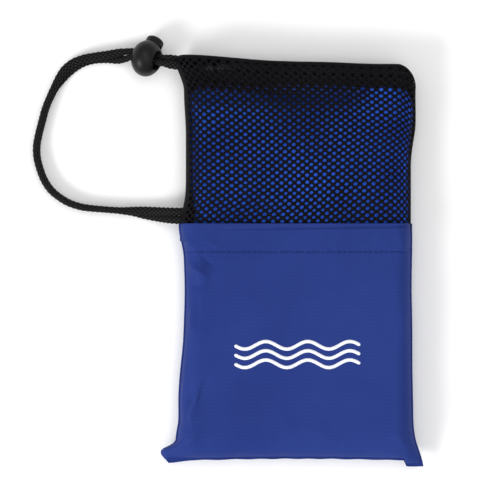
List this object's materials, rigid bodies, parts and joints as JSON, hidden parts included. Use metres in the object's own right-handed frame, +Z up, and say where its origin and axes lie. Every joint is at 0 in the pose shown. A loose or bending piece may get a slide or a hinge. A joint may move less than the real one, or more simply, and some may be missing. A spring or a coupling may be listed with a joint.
{
  "type": "quick dry travel towel in a drawstring pouch",
  "caption": "Folded microfibre travel towel in a half mesh, half coated-fabric drawstring pouch, closed by a braided cord loop with a spring-loaded ball cord lock.",
  "frame": {"origin": "on the surface the pouch lies on, under the middle of the pouch without its cord loop and cord lock", "axes": "+Y along the pouch towards its mouth, +Z up through its thickness, +X across it with the cord loop on the -X side"},
  "size_m": [0.1902, 0.206, 0.0192],
  "materials": {
    "coated_fabric": "satin coated weave",
    "mesh_fabric": "matt knitted mesh",
    "seam_binding": "matt",
    "blue_thread": "satin thread",
    "black_thread": "satin thread",
    "print_ink": "matt ink",
    "braided_cord": "matt braid",
    "lock_plastic": "satin moulded",
    "spring_steel": "bright wire",
    "microfibre": "soft short pile",
    "towel_thread": "overlocked thread"
  },
  "bodies": {
    "pouch": {"front_panel": "coated_fabric", "back_panel": "coated_fabric", "front_mesh": "mesh_fabric", "back_mesh": "mesh_fabric", "casing_front": "mesh_fabric", "casing_back": "mesh_fabric", "left_seam": "seam_binding", "right_seam": "seam_binding", "bottom_seam": "coated_fabric", "waist_stitching_front": "blue_thread", "waist_stitching_back": "blue_thread", "casing_stitching_front": "black_thread", "casing_stitching_back": "black_thread", "front_print": "print_ink", "cord_tack": "black_thread", "casing_cord": "braided_cord", "drawcord_a": "braided_cord", "drawcord_b": "braided_cord"},
    "folded_towel": {"towel": "microfibre", "towel_overlock": "towel_thread"},
    "cord_lock": {"lock_body": "lock_plastic", "lock_spring": "spring_steel"},
    "plunger": {"lock_plunger": "lock_plastic"}
  },
  "joints": [
    {"name": "towel_slide", "type": "slide", "parent": "pouch", "child": "folded_towel", "axis": [0, 1, 0], "range_m": [0, 0.18], "deforming": ["casing_front", "casing_back", "casing_cord", "drawcord_a", "drawcord_b"]},
    {"name": "lock_slide", "type": "slide", "parent": "pouch", "child": "cord_lock", "axis": [1, 0, 0], "range_m": [-0.018, 0.003], "deforming": ["drawcord_a", "drawcord_b"]},
    {"name": "plunger_press", "type": "slide", "parent": "cord_lock", "child": "plunger", "axis": [-0.3806, -0.8234, 0.4209], "range_m": [0, 0.0022], "stiffness_N_per_m": 500, "springref_m": -0.004, "deforming": ["lock_spring"]}
  ]
}
